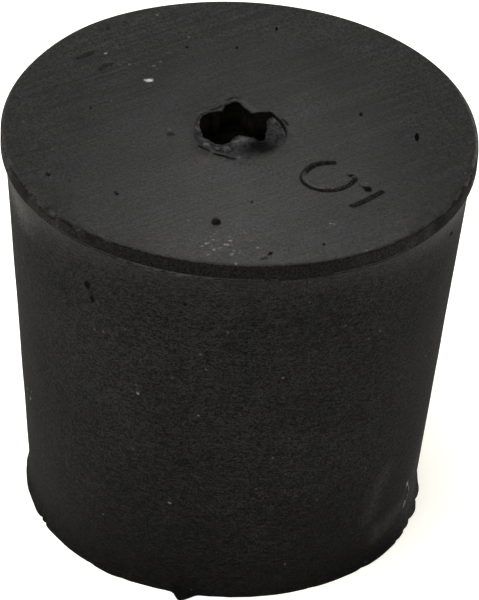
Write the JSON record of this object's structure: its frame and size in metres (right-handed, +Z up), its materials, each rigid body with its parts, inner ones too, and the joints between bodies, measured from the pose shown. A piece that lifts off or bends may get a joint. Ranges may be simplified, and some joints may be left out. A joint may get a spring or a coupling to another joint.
{
  "type": "rubber stopper",
  "caption": "Tapered rubber plug with an axial bore, a flared band round its wide end and a thin moulding lip at its narrow end, made to close a neck around a tube.",
  "frame": {"origin": "centre of the narrow end's flat face, on the surface that the stopper stands on", "axes": "+Z up along the bore from the narrow end to the wide end; the torn mouth of the bore lies 0.5 mm towards -Y"},
  "size_m": [0.027, 0.027, 0.025],
  "materials": {
    "rubber": "dull black moulded rubber, smooth on the wide end and the band, fine matt grain on the side"
  },
  "bodies": {
    "root": {"stopper": "rubber"}
  },
  "joints": []
}
